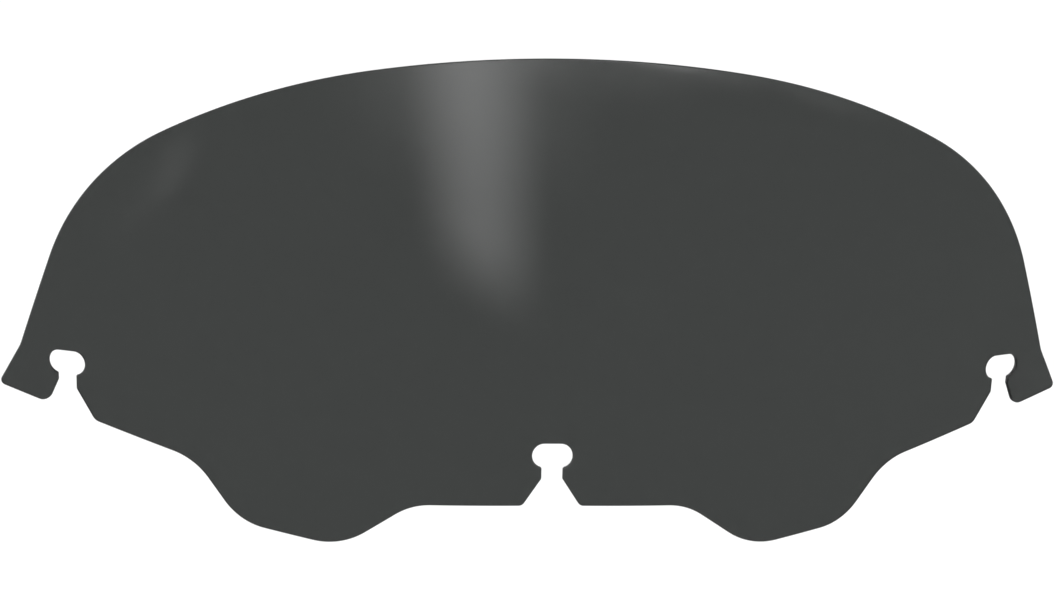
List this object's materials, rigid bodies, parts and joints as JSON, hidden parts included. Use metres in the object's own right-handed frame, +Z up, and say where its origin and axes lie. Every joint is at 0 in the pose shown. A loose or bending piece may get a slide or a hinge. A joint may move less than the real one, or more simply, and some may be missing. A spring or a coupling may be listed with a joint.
{
  "type": "motorcycle fairing windshield panel",
  "caption": "Bare smoked windscreen for a fork-mounted motorcycle fairing: one bent acrylic sheet with an arched crown, outer ears, lobed lower edge and open keyhole slots for its screws.",
  "frame": {"origin": "front face of the sheet in the middle of the centre slot's head, where the centre screw clamps it", "axes": "+Z up along the sheet's upright front line, +X to the right as seen from in front of the motorcycle looking back at the screen, -Y forward out of the bulging front face, +Y back towards the rider"},
  "size_m": [0.6288, 0.0971, 0.2841],
  "materials": {
    "smoked_acrylic": "dark smoke tinted, gloss faces and polished rounded edge"
  },
  "bodies": {
    "root": {"windshield_panel": "smoked_acrylic"}
  },
  "joints": []
}
